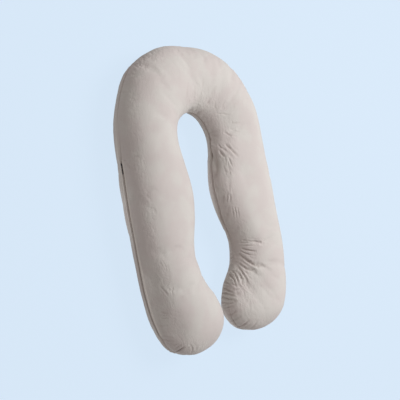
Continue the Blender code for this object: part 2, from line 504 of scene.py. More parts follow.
# %% Fuller and thinner places
FULLNESS = (
    # The arch, and its inner rim.
    (335, 389, 208, 120, 67),
    (-142, 680, 180, 120, 70),
    (-211, 496, 227, 120, 74),
    (-281, 382, 220, 120, 100),
    (-310, 600, 110, 80, 50),
    (34, 430, 185, 70, -78),
    (49, 393, 87, 120, 20),
    (99, 432, 207, 120, -64),
    (15, 406, 101, 120, 40),
    # The right neck and belly, full on the inner side.
    (103, 338, 117, 70, 100),
    (222, 276, 215, 120, -80),
    (133, 232, 160, 70, 100),
    (119, 184, 147, 70, 180),
    (231, 61, 230, 120, -100),
    (168, 60, 216, 70, -100),
    (97, 60, 140, 90, 140),
    (91, 1, 92, 120, 50),
    (107, -73, 153, 120, 100),
    (119, -130, 154, 70, 80),
    (189, -240, 197, 70, 80),
    (123, 277, 138, 70, 64),
    (100, 27, 157, 70, 60),
    (104, -58, 152, 70, 60),
    (154, -192, 180, 70, 64),
    (166, -249, 175, 70, 60),
    (155, -347, 168, 70, 56),
    # The right leg's outer side and its foot.
    (350, 300, 190, 140, 45),
    (362, 50, 200, 140, 35),
    (350, -305, 208, 120, 98),
    (107, -415, 84, 70, 100),
    (74, -473, 68, 70, 80),
    (189, -435, 218, 70, -80),
    (96, -484, 188, 70, -100),
    (145, -505, 223, 120, -100),
    (74, -537, 189, 120, -80),
    (44, -536, 85, 120, 92),
    (124, -564, 223, 120, -100),
    (54, -639, 98, 120, 90),
    (361, -198, 210, 120, 30),
    (325, -439, 220, 120, 30),
    (171, -451, 218, 120, -64),
    (68, -625, 173, 70, -64),
    (72, -663, 101, 70, 64),
    # The left leg, whose crown lies far in, and its thin outer side above the foot.
    (-246, 236, 220, 120, 100),
    (-408, 318, 159, 70, -57),
    (-423, 288, 90, 120, 57),
    (-424, 248, 136, 70, -64),
    (-372, 73, 208, 70, 64),
    (-420, -215, 164, 70, -62),
    (-425, -354, 151, 70, -50),
    (-195, -489, 231, 120, 41),
    (-358, -591, 190, 70, -60),
    (-355, 251, 208, 70, 60),
    (-307, 174, 223, 120, 80),
    (-283, -199, 221, 120, 100),
    (-248, -345, 215, 120, 99),
    (-276, -398, 221, 120, 100),
    (-247, -432, 225, 120, 50),
    (-422, -298, 157, 70, -80),
    (-414, -348, 169, 70, -100),
    (-414, -454, 158, 120, -86),
    (-414, -454, 158, 70, -100),
    (-362, -572, 193, 70, -80),
    (-332, -674, 139, 70, 55),
    (-425, 90, 62, 70, 70),
    (-430, -50, 62, 70, 40),
)


def fill_out(piece):
    """Move the cloth along its normals by the filling's fullness."""
    skin = points(piece)
    fullness = np.zeros(len(skin))
    for *middle, reach, height in FULLNESS:
        away = np.linalg.norm(skin - np.array(middle) / 1000, axis=1)
        fullness += height / 10000 * bell(away, reach / 1000)
    fullness *= looseness(skin) * rise(skin[:, 2], 0, 0.03)
    set_points(piece, skin + normals(piece) * fullness[:, None])
    return fullness


fullness = fill_out(cover)
print("fuller by up to %.0f mm, thinner by %.0f mm" % (1000 * fullness.max(), -1000 * fullness.min()))

# %% [markdown]
# ## Stuffing it
#
# Cloth with a pressure inside is what a stuffed case is. One vertex group holds the form: the patch that
# lies on the floor stays put, and the rest is held softly. The other group makes the seam contract in its
# zones, which throws folds out from it.

# %% Vertex groups for the simulation
HOLD = 0.10
SEAM_BAND = 0.016
GROUP_LEVELS = 20
RESTING = 0.004


def weight_group(piece, name, weights):
    """A vertex group with rounded weights, added one level at a time."""
    group = piece.vertex_groups.new(name=name)
    levels = np.round(weights * GROUP_LEVELS).astype(int)
    for level in range(1, GROUP_LEVELS + 1):
        members = np.flatnonzero(levels == level)
        if len(members):
            group.add(members.tolist(), level / GROUP_LEVELS, "REPLACE")


smooth_skin = points(cover)
beside_seam = np.clip(1 - np.abs(smooth_skin[:, 2] - SEAM_HEIGHT) / SEAM_BAND, 0, 1)
strongest = max(zone.shrink for zone in ZONES)
weight_group(cover, "gather", beside_seam * zone_strength(smooth_skin, "shrink") / strongest)
weight_group(cover, "hold", np.where(smooth_skin[:, 2] < RESTING, 1.0, HOLD))
print("the seam contracts by up to %d%%" % (100 * strongest))

# %% [markdown]
# The simulation steps through twenty frames. Its result may move each point by a few millimetres at most,
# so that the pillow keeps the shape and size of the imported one, and `tanh` makes that limit a soft one.

# %% The simulation
PRESSURE = 1.5
FRAMES = 20
FARTHEST_MOVE = 0.006
SLACK = 0.004


def stuff(piece):
    """Run the cloth and keep only the mesh that comes out."""
    modifier = piece.modifiers.new("cloth", "CLOTH")
    cloth = modifier.settings
    cloth.quality = 5
    cloth.mass = 0.3
    cloth.tension_stiffness = cloth.compression_stiffness = 15
    cloth.shear_stiffness = 5
    cloth.bending_stiffness = 0.05
    cloth.use_pressure = True
    cloth.uniform_pressure_force = PRESSURE
    cloth.effector_weights.gravity = 0
    cloth.vertex_group_mass = "hold"
    cloth.vertex_group_shrink = "gather"
    cloth.shrink_min = -SLACK
    cloth.shrink_max = strongest
    modifier.collision_settings.use_collision = False
    modifier.point_cache.frame_start = 1
    modifier.point_cache.frame_end = FRAMES
    for step in range(1, FRAMES + 1):
        bpy.context.scene.frame_set(step)
    pick(piece)
    bpy.ops.object.modifier_apply(modifier=modifier.name)


stuff(cover)
moved = points(cover) - smooth_skin
length = np.maximum(np.linalg.norm(moved, axis=1), 1e-9)
moved *= (looseness(smooth_skin) * FARTHEST_MOVE * np.tanh(length / FARTHEST_MOVE) / length)[:, None]
set_points(cover, smooth_skin + moved)
cover.vertex_groups.clear()
print("the cloth moved %.1f mm on average" % (1000 * np.linalg.norm(moved, axis=1).mean()))

# %% [markdown]
# ## The stitched line
#
# Bisect cuts one clean loop of edges round the whole pillow at the height of the seam, and leaves it
# selected, so it can be marked as a seam straight away. The mark stays on those edges when they are
# subdivided later, which is how every later step finds the stitched line again.

# %% Cutting the seam's loop
SNAP = 0.0016


def flatten_seam(piece):
    """Put every point of the marked seam at the seam's height."""
    skin = points(piece)
    skin[np.unique(seam_edges(piece)), 2] = SEAM_HEIGHT
    set_points(piece, skin)


def seam_edges(piece):
    """The two points of every edge that is marked as a seam."""
    edges = piece.data.edges
    return read(edges, "vertices", 2, int)[read(edges, "use_seam", 1, bool)]


def walk_seam(piece):
    """The seam's points in order, walked from neighbour to neighbour round the pillow."""
    beside = {}
    for a, b in seam_edges(piece):
        beside.setdefault(a, []).append(b)
        beside.setdefault(b, []).append(a)
    at = min(beside)
    walk = []
    while at is not None:
        walk.append(at)
        at = next((n for n in beside.pop(at) if n in beside), None)
    return walk


def measure_seam(piece):
    """The seam's points in order, and how far along the seam each of them lies."""
    stitched = points(piece)[walk_seam(piece)]
    steps = np.linalg.norm(np.roll(stitched, -1, axis=0) - stitched, axis=1)
    return stitched, np.cumsum(steps) - steps[0]


choose(cover, everything(cover))
bpy.ops.mesh.bisect(plane_co=(0, 0, SEAM_HEIGHT), plane_no=(0, 0, 1), threshold=SNAP)
bpy.ops.mesh.mark_seam(clear=False)
finish_edit()
flatten_seam(cover)
stitched, seam_length = measure_seam(cover)
print("seam: %d edges, %d in the walk, %.2f m" % (len(seam_edges(cover)), len(stitched), seam_length[-1]))

# %% [markdown]
# ## The gathers one by one
#
# The folds that give this pillow its character are not random, so each is listed one by one. For at least
# half of them a small separate program then looked up the place on the cloth behind the picked spots. A row
# has three points on the cloth in millimetres, each as x, y, z, and then the fold's depth and width in
# tenths of a millimetre. Every fold is a soft trough with a low ridge on either side, and it fades out at
# both ends.

# %% The table of folds
Fold = namedtuple("Fold", "start middle end depth width")
FOLD_ROWS = (
    # The fan at the right waist, from its upper fold to its lowest.
    (160, -260, 165, 200, -275, 195, 260, -300, 215, 26, 50),
    (150, -270, 150, 160, -270, 165, 170, -275, 180, 28, 40),
    (150, -285, 150, 170, -290, 180, 200, -295, 200, 30, 45),
    (150, -300, 155, 170, -315, 180, 195, -325, 200, 44, 48),
    (145, -310, 145, 160, -330, 170, 190, -345, 195, 40, 45),
    (140, -325, 140, 160, -375, 185, 200, -400, 210, 70, 70),
    (190, -395, 205, 220, -405, 215, 260, -410, 220, 22, 70),
    (130, -375, 140, 140, -400, 170, 165, -420, 200, 50, 55),
    (125, -385, 120, 120, -425, 165, 110, -470, 190, 46, 55),
    (110, -420, 145, 110, -430, 150, 105, -440, 155, 30, 40),
    (110, -410, 105, 100, -430, 130, 85, -455, 150, 60, 50),
    (105, -420, 85, 95, -430, 100, 90, -440, 115, 42, 42),
    (102, -422, 96, 85, -449, 126, 79, -467, 138, 44, 46),
    (108, -434, 155, 102, -463, 183, 102, -492, 197, 22, 50),
    # Down the inner side of the right foot.
    (97, -458, 45, 79, -458, 81, 70, -473, 117, 42, 52),
    (84, -481, 45, 63, -487, 87, 59, -503, 135, 52, 56),
    (67, -506, 50, 55, -507, 99, 57, -519, 144, 42, 49),
    (56, -527, 55, 47, -529, 102, 51, -533, 151, 50, 54),
    (50, -548, 53, 41, -549, 102, 43, -551, 143, 42, 52),
    (42, -579, 64, 38, -568, 106, 39, -561, 138, 30, 56),
    (30, -606, 99, 41, -604, 120, 42, -587, 147, 37, 63),
    (59, -641, 77, 53, -635, 119, 56, -620, 158, 30, 58),
    (83, -675, 100, 80, -668, 142, 88, -648, 178, 40, 58),
    (119, -695, 149, 126, -680, 177, 131, -660, 195, 15, 62),
    # Inside the arch.
    (-78, 457, 213, -78, 488, 221, -60, 529, 225, 8, 77),
    (-23, 446, 195, -24, 475, 211, -14, 511, 220, 10, 77),
    (22, 429, 180, 18, 453, 199, 26, 483, 214, 12, 72),
    (25, 492, 216, 30, 519, 222, 37, 543, 225, 8, 72),
    (83, 458, 214, 92, 480, 221, 112, 498, 226, 12, 66),
    (70, 415, 185, 70, 430, 200, 80, 445, 210, 15, 60),
    (115, 380, 190, 105, 400, 195, 100, 415, 200, 12, 55),
    (140, 390, 205, 145, 410, 215, 160, 435, 220, 12, 55),
    (95, 460, 215, 100, 475, 220, 105, 485, 225, 8, 55),
    (60, 475, 215, 60, 490, 220, 60, 510, 225, 8, 55),
    # The right neck.
    (115, 370, 185, 145, 365, 200, 185, 355, 210, 14, 50),
    (185, 320, 205, 205, 315, 215, 225, 315, 215, 16, 45),
    (173, 289, 199, 195, 278, 208, 218, 268, 215, 12, 46),
    (147, 278, 179, 166, 260, 195, 193, 252, 208, 16, 46),
    (143, 214, 177, 160, 178, 197, 178, 150, 211, 44, 66),
    (126, 218, 150, 128, 204, 157, 130, 193, 164, 26, 48),
    (121, 188, 153, 124, 171, 163, 126, 156, 172, 46, 62),
    (126, 149, 174, 124, 135, 175, 122, 122, 175, 16, 42),
    (138, 145, 187, 139, 123, 192, 142, 98, 198, 24, 44),
    (115, 109, 167, 114, 86, 172, 113, 64, 175, 13, 44),
    (127, 100, 185, 126, 80, 188, 126, 59, 190, 12, 42),
    (117, 193, 138, 105, 126, 139, 94, 54, 130, 46, 110),
    # Lengthwise crinkles down the right belly.
    (100, 35, 130, 95, 15, 135, 95, -5, 135, 20, 80),
    (120, 40, 185, 115, 15, 180, 110, -15, 175, 10, 50),
    (100, -24, 151, 101, -40, 151, 102, -58, 148, 22, 42),
    (107, -20, 167, 107, -42, 163, 107, -62, 158, 20, 42),
    (113, -28, 176, 114, -44, 174, 114, -60, 170, 18, 42),
    (110, -85, 160, 115, -115, 145, 120, -155, 125, 18, 55),
    (119, -88, 171, 122, -109, 169, 125, -133, 165, 20, 42),
    (126, -92, 179, 129, -116, 177, 132, -142, 171, 22, 42),
    (135, -97, 187, 137, -118, 185, 139, -144, 179, 18, 42),
    # The left leg and the slider's pinch.
    (-430, 195, 115, -425, 200, 130, -425, 195, 145, 18, 40),
    (-425, 185, 140, -420, 175, 150, -420, 155, 160, 12, 50),
    (-410, 200, 175, -395, 205, 185, -385, 195, 195, 16, 55),
    (-395, -370, 185, -385, -390, 195, -370, -415, 200, 18, 50),
    (-400, -390, 185, -395, -395, 190, -390, -405, 190, 12, 45),
    (-365, -385, 205, -365, -400, 205, -365, -415, 205, 12, 40),
    (-350, -385, 210, -355, -400, 210, -355, -415, 210, 12, 40),
    (-408, -482, 163, -397, -488, 178, -385, -492, 191, 16, 42),
    (-408, -495, 159, -398, -499, 175, -385, -500, 189, 12, 42),
    (-406, -509, 157, -397, -512, 173, -386, -514, 185, 14, 42),
    (-406, -544, 130, -399, -546, 151, -386, -548, 175, 12, 45),
    (-420, -465, 150, -400, -560, 140, -365, -640, 125, 10, 80),
    # The left foot, where the seam meets the outline in a notch.
    (-391, -592, 115, -379, -600, 153, -359, -616, 177, 14, 50),
    (-382, -612, 107, -375, -618, 143, -358, -622, 173, 22, 50),
    (-375, -627, 121, -362, -643, 136, -347, -660, 140, 30, 44),
    (-347, -660, 140, -344, -650, 165, -336, -642, 183, 24, 42),
    (-367, -630, 146, -359, -638, 156, -349, -636, 173, 18, 42),
    (-328, -686, 104, -330, -668, 152, -323, -656, 182, 78, 50),
    (-300, -652, 200, -287, -672, 189, -278, -692, 168, 14, 50),
    (-283, -652, 207, -267, -673, 195, -259, -696, 173, 10, 55),
    # The left leg's crinkles higher up.
    (-382, -266, 197, -374, -280, 200, -370, -299, 201, 8, 42),
    (-368, -266, 204, -362, -287, 205, -364, -309, 204, 9, 42),
    (-354, -280, 207, -351, -299, 208, -357, -319, 206, 7, 42),
    (-389, 30, 200, -381, 15, 206, -375, -8, 210, 6, 50),
    (-377, -12, 208, -371, -36, 211, -371, -62, 211, 6, 50),
    # The left shoulder's short gathers.
    (-269, 641, 105, -285, 623, 138, -293, 600, 165, 15, 46),
    (-250, 655, 120, -268, 633, 149, -284, 601, 176, 9, 44),
    (-229, 666, 116, -240, 652, 148, -262, 628, 172, 15, 44),
    (-215, 674, 128, -222, 662, 150, -230, 646, 168, 7, 44),
    (-190, 686, 126, -197, 672, 158, -216, 650, 179, 10, 46),
    (-160, 694, 140, -163, 686, 156, -170, 676, 168, 5, 46),
    (-288, 623, 100, -304, 606, 132, -300, 590, 160, 8, 48),
    (-311, 601, 90, -326, 580, 128, -322, 567, 158, 10, 50),
    (-330, 573, 90, -345, 552, 125, -343, 542, 150, 7, 55),
    (-360, 522, 85, -370, 503, 131, -360, 494, 163, 8, 60),
)


def read_fold(row):
    """The fold that a row describes, in metres."""
    *places, depth, width = row
    start, middle, end = (tuple(mm / 1000 for mm in places[at:at + 3]) for at in (0, 3, 6))
    return Fold(start, middle, end, depth / 10000, width / 10000)


FOLDS = [read_fold(row) for row in FOLD_ROWS]
print(len(FOLDS), "folds picked out by eye")

# %% [markdown]
# ## Small gathers all along the seam
#
# The side that the photo doesn't show has gathers too, on both panels. They follow one rule: each starts
# at the seam and runs out over the cloth with a slant, a length and a depth drawn by chance, but only
# where a zone gathers the cloth and where no fold is listed. A numbered seed makes the draws
# come out the same each time.

# %% Drawing the small gathers
APART, BEGINS, EXTENT = (0.012, 0.030), (0.006, 0.020), (0.015, 0.050)
SLANT, DEPTH_SHARE, WIDTH = (-0.35, 0.35), (0.35, 1.0), (0.0046, 0.0075)
USUAL_GATHER = 0.004
SHALLOWEST = 0.0006
CLEAR_OF_PLACED = 0.050
LEG_MIDDLE, LEG_HALF_WIDTH, LEG_HALF_HEIGHT = 0.27, 0.150, 0.118
UP_AND_DOWN = (1, -1)
chance = np.random.default_rng(8)


def off_seam(index, start, slant, side):
    """A place beside the seam, `start` metres of cloth away from it, up (1) or down (-1)."""
    way = np.roll(stitched, -3, axis=0)[index] - np.roll(stitched, 3, axis=0)[index]
    way /= np.linalg.norm(way)
    middle_of_leg = np.array([LEG_MIDDLE * np.sign(stitched[index][0]), stitched[index][1], SEAM_HEIGHT])
    inward = np.array([-way[1], way[0], 0])
    if np.dot(inward, middle_of_leg - stitched[index]) < 0:
        inward = -inward
    angle = start / ((LEG_HALF_WIDTH + LEG_HALF_HEIGHT) / 2)
    rise_up = np.array([0, 0, side * LEG_HALF_HEIGHT * sin(angle)])
    return stitched[index] + way * slant * start + inward * LEG_HALF_WIDTH * (1 - cos(angle)) + rise_up


def small_gathers():
    made = []
    starts = np.array([fold.start for fold in FOLDS])
    at = 0.0
    while at < seam_length[-1]:
        index = int(np.searchsorted(seam_length, at))
        at += chance.uniform(*APART)
        strength = zone_strength(stitched[index:index + 1], "gather")[0]
        for side in UP_AND_DOWN:
            begins = chance.uniform(*BEGINS)
            extent = chance.uniform(*EXTENT) * (0.5 + strength / USUAL_GATHER)
            slant = chance.uniform(*SLANT)
            depth = strength * chance.uniform(*DEPTH_SHARE)
            width = chance.uniform(*WIDTH)
            places = [off_seam(index, begins + extent * t, slant, side) for t in (0, 0.5, 1)]
            placed = side > 0 and np.linalg.norm(starts - places[0], axis=1).min() < CLEAR_OF_PLACED
            if depth > SHALLOWEST and not placed and not on_zip(places[0][None])[0]:
                made.append(Fold(*(tuple(p) for p in places), depth, width))
    return made


gathers = small_gathers()
print(len(gathers), "small gathers drawn")

# %% [markdown]
# Each fold's three points give a smooth curve, which wanders a little and is then laid onto the cloth point
# by point. A fold is seldom alone, so fainter ones run along part of each of the deeper ones.

# %% Laying the folds onto the cloth
FOLD_STEPS = 20
WANDER, WANDER_SIZE = 0.0016, 0.020
FAINTER_SHARE, WIDTHS_BESIDE = (0.15, 0.40), (2.2, 3.4)
FOLLOWED = 0.0023


def bend_through(fold, t):
    """A point on the smooth curve through the fold's three points."""
    a, m, b = (Vector(p) for p in (fold.start, fold.middle, fold.end))
    handle = 2 * m - (a + b) / 2
    return (1 - t) ** 2 * a + 2 * t * (1 - t) * handle + t ** 2 * b


def lay(fold):
    curve = [bend_through(fold, step / FOLD_STEPS) for step in range(FOLD_STEPS + 1)]
    wandering = [place + noise.noise_vector(place / WANDER_SIZE) * WANDER for place in curve]
    return np.array([cover.closest_point_on_mesh(place)[1] for place in wandering])


def beside_fold(fold, side):
    """A fainter fold that runs along part of another one."""
    start, middle, end = (Vector(place) for place in (fold.start, fold.middle, fold.end))
    facing = cover.closest_point_on_mesh(middle)[2]
    across = facing.cross(end - start).normalized() * side * fold.width * chance.uniform(*WIDTHS_BESIDE)
    begins, ends = chance.uniform(0.0, 0.3), chance.uniform(0.6, 1.0)
    places = [bend_through(fold, t) + across * spread for t, spread in (
        (begins, 0.9), ((begins + ends) / 2, 1.0), (ends, 1.3),
    )]
    return Fold(*(tuple(p) for p in places), fold.depth * chance.uniform(*FAINTER_SHARE), fold.width * 0.9)


fainter = [beside_fold(fold, side) for fold in FOLDS if fold.depth > FOLLOWED for side in UP_AND_DOWN]
paths = [(fold, lay(fold)) for fold in (*FOLDS, *fainter, *gathers)]
fold_lengths = [np.linalg.norm(np.diff(path, axis=0), axis=1).sum() for _, path in paths]
print("folds are %.0f to %.0f mm long" % (1000 * min(fold_lengths), 1000 * max(fold_lengths)))

# %% [markdown]
# ## Finer cloth where it matters
#
# Folds a centimetre wide need squares of a few millimetres, but only near the seam and along the folds.
# Those faces are chosen by their place and subdivided, and `smoothness` rounds the new points.

# %% Subdividing beside the seam and along the folds
NEAR_SEAM = 0.028
FIRST_REACH, SECOND_REACH, THIRD_REACH = 0.018, 0.012, 0.006
WIDE, NARROW, DEEP = 0.009, 0.0052, 0.0026


def near_path(places, path, reach):
    """Which places lie near a path, how far away its nearest point is, and which point that is."""
    close = np.flatnonzero(inside(places, path.min(0) - reach, path.max(0) + reach))
    away = np.linalg.norm(places[close][:, None] - path[None], axis=2)
    return close, away.min(1), away.argmin(1)


def along_folds(places, reach, widest, shallowest=0):
    """True for every place that a fold passes, of those that are narrow and deep enough."""
    found = np.zeros(len(places), bool)
    for fold, path in paths:
        if fold.width <= widest and fold.depth > shallowest:
            close, away, _ = near_path(places, path, reach)
            found[close[away < reach]] = True
    return found


def refine(piece, chosen):
    edit(piece, chosen, bpy.ops.mesh.subdivide, number_cuts=1, smoothness=0.8)


skin = points(cover)
refine(cover, (np.abs(skin[:, 2] - SEAM_HEIGHT) < NEAR_SEAM) | along_folds(skin, FIRST_REACH, WIDE))
refine(cover, along_folds(points(cover), SECOND_REACH, NARROW))
refine(cover, along_folds(points(cover), THIRD_REACH, NARROW, DEEP))
flatten_seam(cover)
print("finer cloth:", len(cover.data.polygons), "faces")

# %% [markdown]
# ## The seam's groove
#
# The thread pulls the stitched line in between two soft lips. A few more bisect cuts on either side of it
# give the groove enough loops of edges to be round, and beside the zip, where the two tapes lie flat in
# it, a flat floor.

# %% Loops beside the stitched line
LOOPS = (0.0028, 0.0062, 0.0110)
LOOP_SNAP = 0.0006

for offset in LOOPS:
    for side in UP_AND_DOWN:
        cut = {"plane_co": (0, 0, SEAM_HEIGHT + side * offset), "plane_no": (0, 0, 1)}
        edit(cover, everything(cover), bpy.ops.mesh.bisect, threshold=LOOP_SNAP, **cut)
stitched, seam_length = measure_seam(cover)
print("with seam loops:", len(cover.data.polygons), "faces, seam of", len(stitched), "points")

# %% [markdown]
# A stuffed case never sits quite straight on its filling. Here the seam has slid up beside the right neck
# and above the zip, and down under the left foot. The points move along the surface, so the form stays.

# %% Letting the seam slide
SLIDES = (
    (0.112, 0.190, 0.090, -0.012),
    (0.100, -0.050, 0.130, -0.004),
    (-0.435, 0.300, 0.110, -0.010),
    (-0.340, -0.690, 0.110, 0.016),
)
SLIDE_REACH = 0.055


def slide_seam(piece):
    """Slide the cloth down over the filling, most at the seam. Returns how far above it each point is."""
    skin, outward = points(piece), normals(piece)
    above = skin[:, 2] - SEAM_HEIGHT
    total = np.zeros(len(skin))
    for x, y, reach, slide in SLIDES:
        total += slide * bell_above(skin, x, y, reach)
    total *= bell(above, SLIDE_REACH) * (1 - on_zip(skin))
    downhill = outward * outward[:, 2:] - (0, 0, 1)
    set_points(piece, skin + downhill * total[:, None])
    return above


above_seam = slide_seam(cover)
print("the seam slides down by up to %.0f mm" % (1000 * max(slide for *place, slide in SLIDES)))

# %% [markdown]
# Small puckers follow the length of the seam, so every place beside it is first told how far along the
# seam it is. Their heights are drawn by chance every centimetre or so and joined by rounded steps. The line
# is hidden where gathers cross it, at the right waist and foot, hardly shows above the zip, and is drawn in
# deepest beside the right belly. Above the zip the cloth's edge below the seam is padded out a little.

# %% Shaping the groove, its lips and the puckers
GROOVE_DEPTH, GROOVE_WIDTH = 0.0045, 0.0036
LIP_HEIGHT, LIP_AT, LIP_WIDTH = 0.0012, 0.010, 0.006
ZIP_LIP_HEIGHT, ZIP_LIP_AT, ZIP_LIP_WIDTH = 0.0032, 0.0100, 0.0046
ZIP_FLOOR, ZIP_MOUTH, NEAR_ZIP = 0.0029, 0.0076, 0.008
EDGE_HEIGHT, EDGE_AT, EDGE_WIDTH, EDGE_FADE = 0.0050, 0.015, 0.009, 0.28
PUCKER_SPACING, PUCKER_START, PUCKER_REACH = 0.013, 0.004, 0.030
FINER_SHARE, FINER_SPACING = 0.6, 0.55
EVEN_PUCKER = 0.0003
WAVER_SPACING, WAVER_REACH = 0.02, 0.01
SIDE_GAIN = 1.3
SHOWING = (
    (0.125, -0.370, 0.115, -0.85),
    (0.050, -0.530, 0.100, -0.75),
    (0.110, 0.020, 0.230, 0.35),
    (-0.420, 0.345, 0.120, -0.90),
)

tree = KDTree(len(stitched))
for index, place in enumerate(stitched):
    tree.insert(place, index)
tree.balance()


def ripple(place, spacing, seed):
    """Smooth unevenness along a line: a random height at every spacing, joined by rounded steps."""
    heights = np.random.default_rng(seed).uniform(-1, 1, 4096)
    low = np.floor(place / spacing).astype(int)
    t = rise(place / spacing - low, 0, 1)
    return heights[low] * (1 - t) + heights[low + 1] * t


def line_shows(places):
    """How deep the stitched line is drawn in: 1 for as usual."""
    shown = np.ones(len(places))
    for x, y, reach, more in SHOWING:
        shown += more * bell_above(places, x, y, reach)
    return np.maximum(shown, 0.1)


skin = points(cover)
outward = normals(cover)
level_out = outward * (1, 1, 0)
level_out /= np.maximum(np.linalg.norm(level_out, axis=1, keepdims=True), 1e-6)
high = np.abs(above_seam)
zipped = on_zip(skin, NEAR_ZIP)
showing = line_shows(skin)
round_groove = bell(high, GROOVE_WIDTH * np.maximum(showing, 1) ** 1.5) * showing
flat_groove = 1 - rise(high, ZIP_FLOOR, ZIP_MOUTH)
to_zip_floor = (skin[:, 0] - zip_floor_x(skin[:, 1])) * level_out[:, 0]
groove = GROOVE_DEPTH * round_groove * (1 - zipped) + to_zip_floor * flat_groove * zipped
soft_lip = LIP_HEIGHT * bell(high - LIP_AT, LIP_WIDTH) * showing
zip_lip = ZIP_LIP_HEIGHT * bell(high - ZIP_LIP_AT, ZIP_LIP_WIDTH)
runs_on = on_zip(skin, EDGE_FADE) * (1 - zipped) * (above_seam < 0)
edge_lip = EDGE_HEIGHT * bell(high - EDGE_AT, EDGE_WIDTH) * runs_on
lip = soft_lip * (1 - zipped) + zip_lip * zipped + edge_lip
on_side = np.clip(SIDE_GAIN * np.hypot(outward[:, 0], outward[:, 1]), 0, 1)
shape = skin + level_out * ((lip - groove) * on_side)[:, None]

beside = np.flatnonzero(high < 3 * PUCKER_REACH)
along = seam_length[[tree.find(place)[1] for place in skin[beside]]]
size = (EVEN_PUCKER + zone_strength(skin[beside], "pucker")) * looseness(skin[beside])
fade = np.exp(-high[beside] / PUCKER_REACH) * np.clip(high[beside] / PUCKER_START, 0, 1)
waves = ripple(along, PUCKER_SPACING, 3) + FINER_SHARE * ripple(along, PUCKER_SPACING * FINER_SPACING, 4)
shape[beside] += outward[beside] * (size * fade * waves)[:, None]
waver = ripple(along, WAVER_SPACING, 5) * np.exp(-high[beside] / WAVER_REACH)
shape[beside, 2] += 0.5 * size * waver
set_points(cover, shape)
print("groove %.1f mm deep" % (1000 * groove.max()))
print("puckers up to %.1f mm high" % (1000 * (size * fade * waves).max()))

# %% [markdown]
# ## Pressing the folds in
#
# The profile across a fold is a trough that turns into a ridge on either side, because the cloth that goes
# in has to come from somewhere. Along the fold it deepens quickly and runs out slowly, and never evenly.

# %% Pressing each fold into the cloth
RIDGE_SHARE, SHARPNESS, REACHES = 0.65, 1.7, 3.2
UNEVENNESS, UNEVEN_STEPS = 0.3, 4.0
TAPER_FROM, TAPER_TO, TAPER_POWER = 0.10, 0.96, 0.8


def press(piece):
    """Move the cloth in along every fold and out beside it. Returns how deep each point ends up."""
    skin = points(piece)
    depth = np.zeros(len(skin))
    for fold, path in paths:
        taper = np.sin(np.linspace(TAPER_FROM, TAPER_TO, len(path)) ** TAPER_POWER * pi) ** TAPER_POWER
        own_stretch = np.arange(len(path)) + fold.depth * 1e6
        uneven = 1 + UNEVENNESS * ripple(own_stretch, UNEVEN_STEPS, 6)
        close, away, step = near_path(skin, path, REACHES * fold.width)
        t = away / fold.width
        profile = (1 - RIDGE_SHARE * t ** 2) * np.exp(-t ** SHARPNESS / 1.4)
        depth[close] += fold.depth * (taper * uneven)[step] * profile
    set_points(piece, skin - normals(piece) * depth[:, None])
    return depth


fold_depth = press(cover)
print("folds go %.1f mm in and %.1f mm out" % (1000 * fold_depth.max(), -1000 * fold_depth.min()))

# %% [markdown]
# ## Softness, and the floor
#
# Fibre is never packed quite evenly, so a slow noise of a millimetre or so makes the light wander over the
# crown. Where the pillow lies on the floor its weight presses it flat.

# %% Uneven filling, and the flat underside
LUMP_SIZE, LUMP_HEIGHT = 0.085, 0.0010
SMALL_LUMP_SIZE, SMALL_LUMP_HEIGHT = 0.030, 0.0003
SETTLING, SETTLING_REACH = 0.0022, 0.022

skin = points(cover)
lumps = np.array([
    LUMP_HEIGHT * noise.noise(place / LUMP_SIZE) + SMALL_LUMP_HEIGHT * noise.noise(place / SMALL_LUMP_SIZE)
    for place in map(Vector, skin)
])
skin += normals(cover) * (lumps * looseness(skin))[:, None]
skin[:, 2] -= SETTLING * bell(skin[:, 2], SETTLING_REACH)
skin[:, 2] = np.maximum(skin[:, 2], 0)
set_points(cover, skin)
pick(cover)
bpy.ops.object.shade_smooth()
print("%.0f%% of the points rest on the floor" % (100 * (skin[:, 2] < 1e-6).mean()))

# %% [markdown]
# ## The pattern pieces
#
# Knitted cloth has a grain, and it should run over the form without stretching. The seam is where the real
# case was sewn, and it is marked already, so unwrapping opens the cover there and each panel unrolls
# flat, as it was cut.

# %% Unwrapping along the real seam
PANEL_GAP = 0.05

edit(cover, everything(cover), bpy.ops.uv.unwrap, method="CONFORMAL", margin=0.01)


def pattern_size(piece):
    """How many metres of cloth one unit of the unwrapped pattern stands for."""
    uv = read(piece.data.uv_layers.active.data, "uv", 2)
    corners = read(piece.data.loops, "vertex_index", 1, int)
    true_step = np.linalg.norm(np.diff(points(piece)[corners], axis=0), axis=1)
    flat_step = np.linalg.norm(np.diff(uv, axis=0), axis=1)
    same_panel = flat_step < PANEL_GAP
    return float(np.median(true_step[same_panel] / np.maximum(flat_step[same_panel], 1e-9)))


PATTERN = pattern_size(cover)
print("one pattern unit is %.3f m" % PATTERN)

# %% [markdown]
# Deep in a fold the cloth is given a darker colour, as painted shade. Each point keeps how deep it lies, for
# the cloth's finish to read. A second hint holds painted shade along the seam's groove and, under the seam
# beside the right belly, a broad band of painted shade for the shade between the legs. Each point also keeps
# whether it is on the pillow's flank: the seam gathers the cloth there, while the stuffing stretches the
# crown smooth. The last two hints say where a painted highlight lightens the cloth's soft edge, beside the
# zip and for a while above it.

# %% Hints kept on the cloth
LINE_WIDTH = 0.0030
DARK_DEPTH = 0.0034
FLANK = (0.085, 0.122)
# Painted shade beside the right belly, for the shade between the legs: its strength, place and reach.
BESIDE_BELLY, BELLY_Y, BELLY_REACH = 0.7, -0.12, 0.26
SHADE_AT, SHADE_WIDTH = -0.004, 0.038
# Where the painted highlight lies below the seam above the zip, and how wide it is.
HIGHLIGHT_AT, HIGHLIGHT_WIDTH = -0.022, 0.015


def keep_hint(piece, name, values):
    hint = piece.data.attributes.new(name, "FLOAT", "POINT")
    hint.data.foreach_set("value", values.astype(np.float32))


